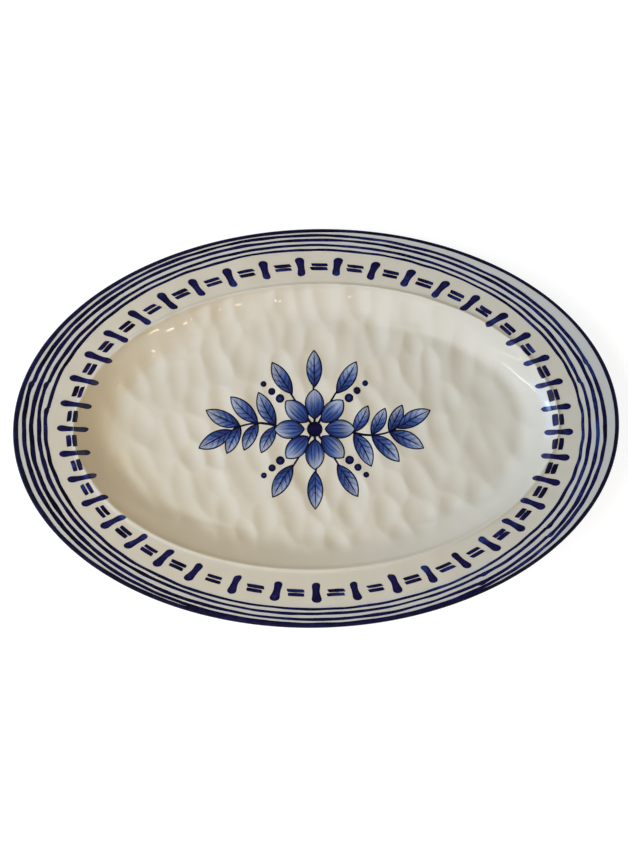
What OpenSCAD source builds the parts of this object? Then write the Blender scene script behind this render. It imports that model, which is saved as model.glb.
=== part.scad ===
// Oval serving platter: a moulded shell with a foot ring, faced with a printed decor foil.
// Every oval is a turned form stretched along X, so a size across the rim or the wall is true
// across the short side and grows towards the two ends.
// Millimetres, +Z up. The foot ring stands on z = 0 and the platter is centred on the origin.

/* [Outline] */
// Length over the lip
platter_length = 457; // [400:1:520]
// Width over the lip
platter_width = 302; // [280:1:340]
// Height from the table to the top of the lip
platter_height = 25; // [22:0.5:30]

/* [Rim] */
// Width of the rim from the lip to the crease
rim_width = 43; // [38:0.5:50]
// How much wider the rim is at the two ends
rim_end_extra = 3.5; // [0:0.1:6]
// Rise of the rim towards the lip, degrees
rim_slope = 4; // [1:0.5:6]

/* [Well] */
// Slope of the wall round the well, degrees
wall_slope = 42; // [36:1:50]
// Radius of the fillet between the wall and the floor
floor_fillet = 20; // [8:1:26]
// Stretch along X of the steeper form that deepens the two ends of the well
end_stretch = 1.9; // [1.84:0.02:2]

/* [Shell] */
// Thickness of the shell together with its foil
shell_thickness = 3; // [2.4:0.1:4]
// Height of the foot ring below the floor
foot_height = 2.5; // [1.5:0.1:4]
// Width of the foot ring
foot_width = 5; // [3:0.5:9]
// Distance from the edge of the flat floor in to the foot ring
foot_inset = 2; // [0:0.5:8]

/* [Printed face] */
// Thickness of the decor foil and of the band round the lip
foil_thickness = 0.4; // [0.2:0.05:0.6]
// Thickness of the printed ink
ink_thickness = 0.1; // [0.1:0.05:0.3]
// How far the print lies off centre along the length
print_shift_x = -1.1; // [-3:0.1:3]
// How far the print lies off centre across the width
print_shift_y = -1.3; // [-2:0.1:2]
// How far the print is turned in the mould, degrees
print_turn = -0.9; // [-1.5:0.1:1.5]
// How far the printed ovals stop short of the lip at each end
print_end_inset = 3.9; // [0:0.1:6]

/* [Stripes] */
// Width of the band on the face at the lip
edge_width = 2; // [1.8:0.1:2.4]
// Distance from the lip in to the middle of the first stripe
stripe_inset = 4.3; // [3.6:0.1:6]
// Distance from one stripe to the next
stripe_pitch = 3.7; // [2.4:0.1:4]
// Width of a stripe
stripe_width = 1.7; // [0.8:0.1:2.2]

/* [Border] */
// Number of strokes round the rim
bar_count = 41; // [24:1:44]
// Distance from the middle of the last stripe in to the strokes
bar_gap = 4.8; // [3.5:0.1:8]
// Length of a stroke
bar_length = 14.4; // [10:0.1:17]
// Width of a stroke's outer end
bar_head_width = 4.4; // [3:0.1:6]
// Width of a stroke's inner end
bar_foot_width = 3.4; // [2:0.1:5]
// Number of wider gaps where the round of strokes closes
closing_gaps = 5; // [0:1:9]
// Width of a closing gap against a plain one
closing_stretch = 1.12; // [1:0.02:1.3]
// Direction of the first stroke after the closing gaps, degrees
first_bar = -71.4; // [-180:0.2:180]
// Length of a dash
dash_length = 8.5; // [5:0.5:10]
// Width of a dash
dash_width = 2.2; // [1:0.05:2.4]
// Distance between the middles of a pair of dashes
dash_pitch = 3.1; // [2.6:0.1:5]

/* [Motif] */
// Distance from the motif in to each end of the well's first form
motif_end_margin = 43; // [36:1:60]
// Bare floor between the motif and each side of the flat floor
motif_side_margin = 20; // [14:1:24]
// Radius of the blossom's eye
eye_radius = 6; // [4:0.5:8]
// Number of petals
petal_count = 8; // [5:1:12]
// Length of a petal
petal_length = 22; // [14:1:26]
// Width of a petal
petal_width = 13; // [8:0.5:16]
// Bare ring between the eye and the petals
petal_gap = 1.5; // [1:0.5:4]
// Length of a leaf
leaf_length = 27; // [18:1:32]
// Width of a leaf
leaf_width = 9.5; // [6:0.5:13]
// Number of leaf pairs on a branch
leaf_pairs = 3; // [1:1:4]
// Angle between a leaf and its stem, degrees
leaf_splay = 48; // [30:1:60]
// Angle between neighbouring leaves above and below the blossom, degrees
crown_splay = 32; // [20:1:45]
// Width of a stem
stem_width = 1.8; // [1:0.1:3]
// Bow of a branch between its two ends
stem_bow = 5; // [2:0.5:8]
// Radius of the largest berry
berry_radius = 3; // [1.5:0.1:3.4]
// Distance from one berry to the next
berry_pitch = 8.5; // [7:0.5:10]
// Direction of the rows of berries, degrees
berry_direction = 42; // [36:1:46]

/* [Hidden] */
$fn = 128;
arc_steps = 10;

melamine = "#e4dfd2";
foil_white = "#ece7da";
navy = "#23245c";
cobalt = "#3a4f96";

// How far the well's first form stops short of its second at the two ends
end_step = 2.5;

// Half sizes of the ovals, and how far each turned form is stretched along X
lip_x = platter_length / 2;
lip_y = platter_width / 2;
crease_y = lip_y - rim_width;
rim_stretch = lip_x / lip_y;
end_crease_x = lip_x - rim_width - rim_end_extra;
well_stretch = (end_crease_x - end_step) / crease_y;
print_stretch = (lip_x - print_end_inset) / lip_y;

// The lip is a full round; under the blue band it is thinner by the band's thickness
lip_radius = shell_thickness / 2;
lip_centre = [lip_y - lip_radius, platter_height - lip_radius];
bare_lip_radius = lip_radius - foil_thickness * cos(rim_slope);
band_end_angle = -35;
face_radius = lip_y - edge_width;

// Height of the rim's face at a radius across the short side
function rim_z(r) = lip_centre[1] + lip_radius / cos(rim_slope) + (r - lip_centre[0]) * tan(rim_slope);

// The wall leaves the rim at the crease and runs into the floor through the fillet
floor_z = foot_height + shell_thickness;
crease_z = rim_z(crease_y);
floor_y = crease_y - (crease_z - floor_z) / tan(wall_slope) - floor_fillet * tan(wall_slope / 2);
floor_x = floor_y * well_stretch;

// A wall that is stretched along X grows wide and flat at the two ends. A second form, steeper and
// stretched more, makes the wall there as steep and its fillet as wide as across the short side
end_slope = atan(end_stretch * tan(wall_slope));
end_fillet = floor_fillet * sin(wall_slope) / (end_stretch * sin(end_slope));
end_floor_y = end_crease_x / end_stretch - (crease_z - floor_z) / tan(end_slope)
              - end_fillet * tan(end_slope / 2);
foot_outer = floor_y - foot_inset;

// Room past a face, so that a cut goes right through
clear = 5;
top_z = platter_height + clear;

// Border: the strokes start inside the last stripe, and the dashes lie halfway along them
stripe_count = 4;
bar_outer = lip_y - stripe_inset - (stripe_count - 1) * stripe_pitch - bar_gap;
bar_middle = bar_outer - bar_length / 2;
plain_gap = 360 / (bar_count + closing_gaps * (closing_stretch - 1));
plain_gaps = bar_count - closing_gaps;

// Motif: an oval spray on the flat floor
motif_x = floor_x - motif_end_margin;
motif_y = floor_y - motif_side_margin;
petal_start = eye_radius + petal_gap;
blossom_radius = petal_start + petal_length;
stem_start = blossom_radius - petal_length / 3;
stem_end = motif_x - leaf_length;
stem_chord = stem_end - stem_start;
stem_radius = (stem_chord * stem_chord / 4 + stem_bow * stem_bow) / (2 * stem_bow);
stem_half_angle = asin(stem_chord / 2 / stem_radius);
stem_centre = [(stem_start + stem_end) / 2, stem_radius - stem_bow];
berry_count = 3;
// Bare floor that the leaves and stems leave round a berry
berry_margin = 0.5;

function arc(centre, radius, from, to) =
    [for (i = [0 : arc_steps])
        let (a = from + (to - from) * i / arc_steps)
        centre + radius * [cos(a), sin(a)]];

// Section of a floor and wall, a thickness below their face, closed above the lip
function well_section(radius, fillet, slope, below) =
    let (bend = arc([radius, floor_z + fillet], fillet + below, -90, slope - 90),
         wall_run = (top_z - floor_z) / sin(slope),
         wall_top = bend[arc_steps] + wall_run * [cos(slope), sin(slope)])
    concat([[0, floor_z - below]], bend, [wall_top, [0, wall_top[1]]]);

// Direction of a stroke; the last few gaps are wider
function bar_angle(i) =
    first_bar + plain_gap * (i <= plain_gaps ? i : plain_gaps + (i - plain_gaps) * closing_stretch);

// Angle on a branch's arc, from 0 at the blossom to 1 at the tip
function stem_angle(f) = stem_half_angle * (2 * f - 1);

// A section turned round Z in four quarters and stretched along X
module turned(section, stretch) {
    for (quarter = [0 : 3])
        scale([stretch, 1, 1])
            rotate_extrude(angle = 90, start = 90 * quarter) polygon(section);
}

// The room in the well, grown by a thickness
module well(below) {
    turned(well_section(floor_y, floor_fillet, wall_slope, below), well_stretch);
    turned(well_section(end_floor_y, end_fillet, end_slope, below), end_stretch);
}

// Everything from a level up to the rim's face, or a distance below that face
module under_rim(below, radius, bottom) {
    turned([[0, bottom], [radius, bottom], [radius, rim_z(radius) - below], [0, rim_z(0) - below]],
           rim_stretch);
}

// The same under the whole face, with the well taken out
module under_face(below, radius, bottom) {
    difference() {
        under_rim(below, radius, bottom);
        translate([0, 0, -below]) well(0);
    }
}

// A layer that follows the face, between two depths below it
module face_layer(from, to) {
    difference() {
        under_face(from, face_radius, 0);
        under_face(to, face_radius + clear, -clear);
    }
}

module rim_plate() {
    turned(concat([[0, rim_z(0) - shell_thickness / cos(rim_slope)], [0, rim_z(0) - foil_thickness]],
                  arc(lip_centre, bare_lip_radius, 90 + rim_slope, band_end_angle),
                  arc(lip_centre, lip_radius, band_end_angle, rim_slope - 90)),
           rim_stretch);
}

// The foot ring, before its underside is ground flat
module foot_ring() {
    foot_top = floor_z - shell_thickness / 2;
    foot_inner = foot_outer - foot_width;
    turned([[foot_inner, -clear], [foot_outer, -clear], [foot_outer, foot_top], [foot_inner, foot_top]],
           well_stretch);
}

module moulded_body() {
    color(melamine)
    difference() {
        union() {
            rim_plate();
            intersection() {
                well(shell_thickness);
                under_rim(shell_thickness / 2, face_radius, foot_height / 2);
            }
            foot_ring();
        }
        translate([0, 0, -foil_thickness]) well(0);
        translate([-lip_x, -lip_y, -2 * clear]) cube([platter_length, platter_width, 2 * clear]);
    }
}

module decor_foil() {
    color(foil_white) face_layer(0, foil_thickness);
}

module edge_band() {
    inner_edge = [face_radius, rim_z(face_radius)];
    color(navy)
    turned(concat([inner_edge - [0, foil_thickness], inner_edge],
                  arc(lip_centre, lip_radius, 90 + rim_slope, band_end_angle),
                  arc(lip_centre, bare_lip_radius, band_end_angle, 90 + rim_slope)),
           rim_stretch);
}

// The whole print lies a little off the platter's centre
module printed() {
    translate([print_shift_x, print_shift_y, 0]) rotate(print_turn) children();
}

module stripe(i) {
    outer = lip_y - stripe_inset - (i - 1) * stripe_pitch + stripe_width / 2;
    inner = outer - stripe_width;
    color(navy)
    intersection() {
        turned([[crease_y, rim_z(crease_y)], [face_radius, rim_z(face_radius)],
                [face_radius, rim_z(face_radius) + ink_thickness],
                [crease_y, rim_z(crease_y) + ink_thickness]], rim_stretch);
        printed() turned([[inner, 0], [outer, 0], [outer, top_z], [inner, top_z]], print_stretch);
    }
}

// Ink in the shape of a flat pattern, laid on the rim and the wall
module ink_on_face() {
    intersection() {
        face_layer(-ink_thickness, 0);
        printed() linear_extrude(top_z) scale([print_stretch, 1]) children();
    }
}

module bar_shape() {
    head = bar_head_width / 2;
    foot = bar_foot_width / 2;
    translate([bar_outer - head, 0]) circle(head);
    translate([bar_outer - bar_length + foot, 0]) circle(foot);
    polygon([[bar_outer - head, head], [bar_outer - bar_length + foot, foot],
             [bar_outer - bar_length + foot, -foot], [bar_outer - head, -head]]);
}

module border_bars() {
    color(navy) ink_on_face()
        for (i = [0 : bar_count - 1])
            rotate(bar_angle(i)) bar_shape();
}

module border_dashes() {
    color(cobalt) ink_on_face()
        for (i = [0 : bar_count - 1], side = [-1, 1])
            rotate((bar_angle(i) + bar_angle(i + 1)) / 2)
                translate([bar_middle + side * dash_pitch / 2, 0])
                    square([dash_width, dash_length], center = true);
}

// Ink in the shape of a flat pattern, laid on the floor
module ink_on_floor() {
    translate([0, 0, floor_z]) linear_extrude(ink_thickness) printed() children();
}

// A pointed oval along X, from the origin
module blade(length, width) {
    radius = (length * length + width * width) / (4 * width);
    intersection_for (side = [-1, 1])
        translate([length / 2, side * (radius - width / 2)]) circle(radius);
}

module eye_shape() {
    circle(eye_radius);
}

module petal_shapes() {
    for (i = [0 : petal_count - 1])
        rotate(360 * i / petal_count) translate([petal_start, 0]) blade(petal_length, petal_width);
}

// Places its children at a share of a branch, pointing along it
module on_branch(f) {
    a = stem_angle(f);
    translate(stem_centre + stem_radius * [sin(a), -cos(a)]) rotate(a) children();
}

module leaf_shapes() {
    for (half = [0, 180]) rotate(half) {
        on_branch(1) blade(leaf_length, leaf_width);
        for (i = [1 : leaf_pairs], side = [-1, 1])
            on_branch((i - 0.5) / leaf_pairs) rotate(side * leaf_splay) blade(leaf_length, leaf_width);
        for (i = [-1 : 1])
            rotate(90 + i * crown_splay) translate([motif_y - leaf_length, 0])
                blade(leaf_length, leaf_width);
    }
}

module stem_shapes() {
    reach = 2 * stem_radius;
    for (half = [0, 180]) rotate(half) {
        translate(stem_centre) intersection() {
            difference() {
                circle(stem_radius + stem_width / 2);
                circle(stem_radius - stem_width / 2);
            }
            polygon([[0, 0], reach * [sin(stem_angle(0)), -cos(stem_angle(0))],
                     reach * [sin(stem_angle(1)), -cos(stem_angle(1))]]);
        }
        for (i = [-1 : 1])
            rotate(90 + i * crown_splay) translate([eye_radius, -stem_width / 2])
                square([motif_y - leaf_length / 2 - eye_radius, stem_width]);
    }
}

// Four rows of berries that shrink outwards, each berry grown by a margin
module berry_shapes(margin) {
    for (half = [0, 180], side = [-1, 1], i = [0 : berry_count - 1])
        rotate(half + side * berry_direction)
            translate([blossom_radius + berry_pitch * (i + 0.5), 0])
                circle(berry_radius * (1 - i / (2 * berry_count)) + margin);
}

module motif_stems() {
    color(navy) ink_on_floor() difference() {
        stem_shapes();
        leaf_shapes();
        petal_shapes();
        circle(petal_start);
        berry_shapes(berry_margin);
    }
}

module motif_leaves() {
    color(cobalt) ink_on_floor() difference() {
        leaf_shapes();
        petal_shapes();
        circle(petal_start);
        berry_shapes(berry_margin);
    }
}

module motif_petals() {
    color(cobalt) ink_on_floor() petal_shapes();
}

module motif_eye() {
    color(navy) ink_on_floor() eye_shape();
}

module motif_berries() {
    color(navy) ink_on_floor() berry_shapes(0);
}

moulded_body();
decor_foil();
edge_band();
stripe(1);  // stripe_1
stripe(2);  // stripe_2
stripe(3);  // stripe_3
stripe(4);  // stripe_4
border_bars();
border_dashes();
motif_stems();
motif_leaves();
motif_petals();
motif_eye();
motif_berries();
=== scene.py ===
# %% [markdown]
# # Oval serving platter
#
# The real platter is pressed from melamine: a cream shell about 3 mm thick, a foil printed in blue on its
# face, and a clear gloss over both. The CAD part fixes every size and place. This script builds the
# finished surfaces round that frame: a softly hammered face, brushed ink that lies on it, a plain studio
# and a camera.
#
# Each CAD solid could simply be given a material, but its face is perfectly even. Here every solid is
# replaced by a finer mesh of the same size, so that light plays on real dents and on strokes with a brush's
# wobble.

# %% Load the frame
import math

import bpy
import numpy as np
from mathutils import Matrix, Vector


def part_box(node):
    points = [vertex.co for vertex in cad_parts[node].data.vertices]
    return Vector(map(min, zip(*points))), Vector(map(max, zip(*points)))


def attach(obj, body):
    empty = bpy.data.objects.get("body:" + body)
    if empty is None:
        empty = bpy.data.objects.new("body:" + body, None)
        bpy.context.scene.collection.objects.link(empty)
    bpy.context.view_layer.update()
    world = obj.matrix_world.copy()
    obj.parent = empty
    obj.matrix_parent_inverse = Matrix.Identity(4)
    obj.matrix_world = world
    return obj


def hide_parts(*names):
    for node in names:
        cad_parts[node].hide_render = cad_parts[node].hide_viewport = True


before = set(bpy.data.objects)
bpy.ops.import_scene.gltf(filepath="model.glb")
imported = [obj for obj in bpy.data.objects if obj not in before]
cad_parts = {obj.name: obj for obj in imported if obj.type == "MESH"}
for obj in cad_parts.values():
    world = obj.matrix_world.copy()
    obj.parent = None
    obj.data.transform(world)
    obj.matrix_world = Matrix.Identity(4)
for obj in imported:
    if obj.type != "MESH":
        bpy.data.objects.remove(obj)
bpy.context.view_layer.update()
MM = 0.001
print("CAD nodes:", ", ".join(sorted(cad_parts)))

# %% [markdown]
# ## Sizes
#
# The lip's oval and the floor's level come from the frame. The other sizes are the ones that the solids were
# drawn with. Everything is worked out in millimetres, and only the finished meshes are turned into metres.

# %% Sizes of the ovals
lip_x, lip_y, lip_top = np.array(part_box("edge_band")[1]) / MM
floor_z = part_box("motif_eye")[0].z / MM
rim_width = 43.0
rim_end_extra = 3.5
end_stretch = 1.9
end_step = 2.5
edge_width = 2.0
shell = 3.0
foil = 0.4
foot_height = 2.5
rim_slope = math.radians(4)
wall_slope = math.radians(42)
floor_fillet = 20.0

lip_round = shell / 2
lip_centre = np.array([lip_y - lip_round, lip_top - lip_round])
crease_y = lip_y - rim_width
face_y = lip_y - edge_width
rim_stretch = lip_x / lip_y
end_crease_x = lip_x - rim_width - rim_end_extra
well_stretch = (end_crease_x - end_step) / crease_y
print(f"lip {2 * lip_x:.1f} by {2 * lip_y:.1f} mm, top at {lip_top:.2f} mm, floor at {floor_z:.2f} mm")

# %% [markdown]
# ## The even face
#
# The face is two simple forms that meet at a crease: a rim that rises gently to the lip, and a well with a
# flat floor and a wall. Both are turned forms stretched along X, so each needs only one radius. A stretched
# wall grows wide and flat at the two ends, so a second, steeper form deepens the well there, as in the CAD
# part. The CAD wall is a fillet and a straight line. A pressed wall steepens all the way up, which spreads a
# reflection softly over it, so here its slope grows step by step and is added up. It stays within 0.7 mm of
# the CAD wall.

# %% Heights of the rim and the well
def rim_radius(x, y):
    return np.hypot(x / rim_stretch, y)


def well_radius(x, y):
    return np.hypot(x / well_stretch, y)


def rim_height(radius):
    return lip_centre[1] + lip_round / math.cos(rim_slope) + (radius - lip_centre[0]) * math.tan(rim_slope)


form_blend = 1.6
form_fade = 5.0
least_fade = 0.01
wall_lead = 1.0
wall_samples = 800
wall_angles = np.radians([0, 35, 48])

wall_drop = rim_height(crease_y) - floor_z
floor_y = crease_y - wall_drop / math.tan(wall_slope) - floor_fillet * math.tan(wall_slope / 2)
fillet_y = floor_y + floor_fillet * math.sin(wall_slope)
wall_foot = floor_y - wall_lead
wall_steps = np.linspace(wall_foot, lip_y, wall_samples)
wall_tilt = np.interp(wall_steps, [wall_foot, fillet_y, crease_y], np.tan(wall_angles))
wall_rise = np.concatenate([[0], np.cumsum((wall_tilt[1:] + wall_tilt[:-1]) / 2 * np.diff(wall_steps))])
wall_rise *= wall_drop / np.interp(crease_y, wall_steps, wall_rise)


def soft_min(a, b, blend):
    overlap = np.maximum(blend - np.abs(a - b), 0) / blend
    return np.minimum(a, b) - overlap**2 * blend / 4


def join_forms(side_form, end_form, level):
    """The lower of the well's two forms, with a soft join that dies out towards their common floor."""
    climb = np.minimum(side_form, end_form) - level
    return soft_min(side_form, end_form, form_blend * np.clip(climb / form_fade, least_fade, 1))


def well_height(x, y):
    side_form = floor_z + np.interp(well_radius(x, y), wall_steps, wall_rise)
    end_reach = crease_y - end_crease_x + np.hypot(x, end_stretch * y)
    return join_forms(side_form, floor_z + np.interp(end_reach, wall_steps, wall_rise), floor_z)


probe_count = 4000
probe = np.linspace(lip_x - 1.5 * rim_width, lip_x - rim_width / 2, probe_count)
step = np.abs(rim_height(probe / rim_stretch) - well_height(probe, 0 * probe))
crease_x = probe[step.argmin()]
print(f"flat floor {floor_y:.1f} mm and crease {crease_y:.1f} by {crease_x:.1f} mm from the middle")

# %% [markdown]
# ## The hammered dents
#
# The floor looks as if it had been beaten by hand: leaning oval dents about 20 mm wide that break the light
# into pale and dark patches. Their hollows reach half a millimetre below the even floor and the crests
# between them a millimetre above it, less towards the right end. They run up the far wall as flutes and die
# out on the other walls. A bump map would show from above but leave the mesh flat, so each dent is a real
# hollow. They sit on a jittered grid from a seeded generator, and where they overlap the deeper one wins
# softly. The rim keeps only a faint share of them and a few slow waves. A low rounded ridge runs along the
# crease and catches a line of light.

# %% Dents and waves
hammer = np.random.default_rng(11)
dent_spacing = np.array([16.5, 22.0])
dent_jitter = 0.28
dent_depth = (1.05, 2.20)
dent_size = (9.5, 12.5)
dent_aspect = (1.4, 2.1)
dent_lean = (0.05, 0.60)
dent_union = 3
dent_bowl = 1.5
dent_cover = 0.86
dent_level = np.mean(dent_depth) * dent_cover
upright_zone = (crease_y / 5, crease_y * 0.7)


def smooth_step(value, start, end):
    share = np.clip((value - start) / (end - start), 0, 1)
    return share * share * (3 - 2 * share)


dents = []
for row, row_y in enumerate(np.arange(-lip_y, lip_y, dent_spacing[1])):
    for row_x in np.arange(-lip_x, lip_x, dent_spacing[0]) + dent_spacing[0] / 2 * (row % 2):
        middle = (row_x, row_y) + hammer.normal(0, dent_jitter, 2) * dent_spacing
        half_width = hammer.uniform(*dent_size)
        half_length = half_width * hammer.uniform(*dent_aspect)
        upright = smooth_step(row_y, *upright_zone)
        lean = hammer.uniform(*dent_lean) * (1 - upright)
        dents.append((middle, half_width, half_length, lean, hammer.uniform(*dent_depth)))
wave_counts = np.array([13, 19, 26, 34, 43])
wave_starts = hammer.uniform(0, 2 * math.pi, len(wave_counts))
print(f"{len(dents)} dents, each {2 * dent_size[0]:.0f} to {2 * dent_size[1]:.0f} mm wide")

# %% Hammered face
right_share = 0.55
wall_share = 0.2
rim_share = 0.15
rim_wave = 0.09
ridge_height = 1.3
ridge_half = 1.75
crease_blend = 0.6
far_wall_zone = (0.6, 0.9)
crease_zone = (-3.5, 1.0)
wall_zone = (0.5, 7.0)
right_zone = (0.45, 0.85)
lip_zone = (face_y - 9, face_y - 2)


def hammered(x, y):
    """How far the finished face lies off the even one."""
    sunk = np.zeros(np.shape(x))
    for (dent_x, dent_y), half_width, half_length, lean, depth in dents:
        near = (np.abs(x - dent_x) < half_length) & (np.abs(y - dent_y) < half_length)
        off_x, off_y = x[near] - dent_x, y[near] - dent_y
        wide = (off_x * math.cos(lean) + off_y * math.sin(lean)) / half_width
        long = (off_y * math.cos(lean) - off_x * math.sin(lean)) / half_length
        reach = np.minimum(np.hypot(wide, long), 1)
        sunk[near] += (depth * (1 - reach**2) ** dent_bowl) ** dent_union
    sunk **= 1 / dent_union
    well = well_height(x, y)
    over_rim = well - rim_height(rim_radius(x, y))
    turn = np.arctan2(y / crease_y, x / crease_x)
    far_wall = smooth_step(np.sin(turn), *far_wall_zone)
    outside = smooth_step(over_rim, *crease_zone)
    share = 1 - (1 - wall_share) * smooth_step(well - floor_z, *wall_zone) * (1 - far_wall)
    share *= 1 - outside * (1 - rim_share)
    share *= 1 - (1 - right_share) * smooth_step(x / crease_x, *right_zone)
    fade = 1 - smooth_step(rim_radius(x, y), *lip_zone)
    waves = np.sin(turn[..., None] * wave_counts + wave_starts).sum(-1) * rim_wave
    ridge = ridge_height * np.exp(-((over_rim / ridge_half) ** 2))
    return fade * (ridge + outside * waves + (dent_level - sunk) * share)


def face_height(x, y):
    even = soft_min(rim_height(rim_radius(x, y)), well_height(x, y), crease_blend)
    return even + hammered(x, y)


along_floor = np.linspace(-floor_y, floor_y, 200)
floor_relief = hammered(along_floor, 0 * along_floor)
print(f"relief along the floor {floor_relief.min():.2f} to {floor_relief.max():.2f} mm")

# %% [markdown]
# ## Shader nodes and colours
#
# Colours are written as sRGB hex, the way a picture editor shows them, and one function turns them to the
# linear light that Blender works in. One more function adds a shader node with its settings and its links.

# %% Colour and node helpers
def linear(hex_code):
    parts = [int(hex_code[i:i + 2], 16) / 255 for i in (1, 3, 5)]
    return [c / 12.92 if c <= 0.04045 else ((c + 0.055) / 1.055) ** 2.4 for c in parts] + [1.0]


def add(tree, kind, inputs=None, **settings):
    """Adds a shader node. An input is a value, or another node's output to link."""
    made = tree.nodes.new("ShaderNode" + kind)
    for name, value in settings.items():
        setattr(made, name, value)
    for socket, value in (inputs or {}).items():
        if isinstance(value, bpy.types.NodeSocket):
            tree.links.new(value, made.inputs[socket])
        else:
            made.inputs[socket].default_value = value
    return made


def new_material(name):
    material = bpy.data.materials.new(name)
    material.use_nodes = True
    tree = material.node_tree
    tree.nodes.clear()
    return material, tree


# %% [markdown]
# ## Melamine
#
# Melamine is a hard resin filled with fine paper pulp and pressed in a polished steel mould. It looks like
# glazed pottery but a little softer: an even cream, with faint cloudy shifts in colour where the powder
# flowed, and a high gloss with the slightest orange peel. The rim is painted a shade darker than the floor:
# painted shade, for the bounced light that the well gathers and the rim does not get. From just inside the
# stripes out to the lip the face is a greyer tone. The face and the back share the resin; the back is a
# touch duller, and the foot is scuffed where it slides on tables.

# %% Melamine, press moulded
resin_ior = 1.58
gloss_roughness = 0.07
gloss_swing = (-0.03, 0.04)
back_dulling = 0.08
cloud_size = 38 * MM
peel_size = 2.2 * MM
peel_height = 0.0035 * MM
scuff_height = 0.6 * MM
scuff_dulling = 0.45
# Painted shade: from the crease outwards the rim is darkened against the floor.
rim_shade_zone = (crease_y - 1, crease_y + 5)
# From just inside the stripes out to the lip the face turns a greyer tone.
grey_band_zone = (lip_y - 19, lip_y - 14)


def melamine(name, pale, deep, roughness, zones=(), scuffed=False):
    """Moulded melamine. A zone mixes in another tone, from one radius of the lip's oval to a second one."""
    material, tree = new_material(name)
    place = add(tree, "TexCoord").outputs["Object"]
    cloud = add(tree, "TexNoise", {"Vector": place, "Scale": 1 / cloud_size, "Detail": 3.0}).outputs["Fac"]
    peel = add(tree, "TexNoise", {"Vector": place, "Scale": 1 / peel_size, "Detail": 1.0}).outputs["Fac"]
    tint = add(tree, "Mix", {"Factor": cloud, "A": linear(deep), "B": linear(pale)}, data_type="RGBA")
    dull = add(tree, "MapRange", {
        "Value": cloud, "To Min": roughness + gloss_swing[0], "To Max": roughness + gloss_swing[1]})
    bump = add(tree, "Bump", {"Height": peel, "Strength": 1.0, "Distance": peel_height})
    shine = dull.outputs["Result"]
    colour = tint.outputs["Result"]
    plan = add(tree, "VectorMath", {0: place, 1: (1 / rim_stretch, 1, 0)}, operation="MULTIPLY")
    radius = add(tree, "VectorMath", {0: plan.outputs["Vector"]}, operation="LENGTH").outputs["Value"]
    for (start, end), hue, most in zones:
        zone = add(tree, "MapRange", {
            "Value": radius, "From Min": start * MM, "From Max": end * MM, "To Max": most}).outputs["Result"]
        mixed = add(tree, "Mix", {"Factor": zone, "A": colour, "B": linear(hue)}, data_type="RGBA")
        colour = mixed.outputs["Result"]
    if scuffed:
        height = add(tree, "SeparateXYZ", {"Vector": place}).outputs["Z"]
        worn = add(tree, "MapRange", {
            "Value": height, "From Max": scuff_height, "To Min": scuff_dulling, "To Max": 0.0})
        shine = add(tree, "Math", {0: shine, 1: worn.outputs["Result"]}, operation="ADD").outputs["Value"]
    surface = add(tree, "BsdfPrincipled", {
        "Base Color": colour, "Roughness": shine, "IOR": resin_ior, "Normal": bump.outputs["Normal"]})
    add(tree, "OutputMaterial", {"Surface": surface.outputs["BSDF"]})
    return material


# The first zone paints shade on the rim, darker than the floor; the second makes the outer rim greyer.
face_melamine = melamine("melamine_press_moulded_face", "#d9d3bf", "#cfc8b2", gloss_roughness,
                         zones=[(rim_shade_zone, "#c8c1ab", 0.6), (grey_band_zone, "#c3c2b9", 0.8)])
back_melamine = melamine("melamine_press_moulded_back", "#d7d1bd", "#cdc6b0",
                         gloss_roughness + back_dulling, scuffed=True)
print("materials:", face_melamine.name, back_melamine.name)

# %% [markdown]
# ## Meshes for round things
#
# A disc made of rings round one point pinches its faces at the middle, and the gloss shows it. A square grid
# pulled out into a disc has even four-sided faces all over, and its border is still an even ring, so rings
# of any oval can follow it. One function closes such a skin: a disc on top, rings out over the edge and
# back, a disc below.

# %% Disc grids and closed skins
def disc_grid(cells):
    """A square grid pulled out to the unit disc: u, v, its quads and the ring of its border."""
    side = np.linspace(-1, 1, cells + 1)
    a, b = np.meshgrid(side, side)
    wide = np.abs(a) >= np.abs(b)
    reach = np.where(wide, a, b)
    ratio = np.where(wide, b, a) / np.where(reach == 0, 1, reach)
    turn = np.where(wide, ratio, 2 - ratio) * math.pi / 4
    index = np.arange(a.size).reshape(a.shape)
    quads = np.stack([index[:-1, :-1], index[:-1, 1:], index[1:, 1:], index[1:, :-1]], -1).reshape(-1, 4)
    border = np.concatenate([index[:-1, -1], index[-1, :0:-1], index[:0:-1, 0], index[0, :-1]])
    return (reach * np.cos(turn)).ravel(), (reach * np.sin(turn)).ravel(), quads, border


def ring_angles(cells):
    return -math.pi / 4 + np.arange(4 * cells) * math.pi / (2 * cells)


def strips(loops):
    """Quads between neighbouring closed loops of vertices."""
    return [np.stack([a, b, np.roll(b, -1), np.roll(a, -1)], -1) for a, b in zip(loops, loops[1:])]


def closed_skin(cells, top, rings, bottom):
    quads, border = disc_grid(cells)[2:]
    first_ring = len(top)
    last = first_ring + 4 * cells * len(rings)
    loops = [first_ring + 4 * cells * i + np.arange(4 * cells) for i in range(len(rings))]
    faces = [quads, *strips([border, *loops, last + border]), last + quads[:, ::-1]]
    return np.vstack([top, *rings, bottom]), np.vstack(faces)


# %% Finished pieces
sharp_angle = math.radians(40)


def make_piece(name, vertices, faces, material, slot, *nodes, **marks):
    """A smooth mesh, given in millimetres, that rides on the platter and stands for CAD nodes."""
    mesh = bpy.data.meshes.new(name)
    mesh.from_pydata((vertices * MM).tolist(), [], faces.tolist())
    for mark, values in marks.items():
        mesh.attributes.new(mark, "FLOAT", "POINT").data.foreach_set("value", np.float32(values))
    mesh.materials.append(material)
    mesh.shade_smooth()
    mesh.set_sharp_from_angle(angle=sharp_angle)
    piece = bpy.data.objects.new(name, mesh)
    bpy.context.scene.collection.objects.link(piece)
    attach(piece, "root")
    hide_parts(*nodes)
    print(f"{name}: {len(faces)} quads, stands for {', '.join(nodes)}")
    return piece


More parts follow.
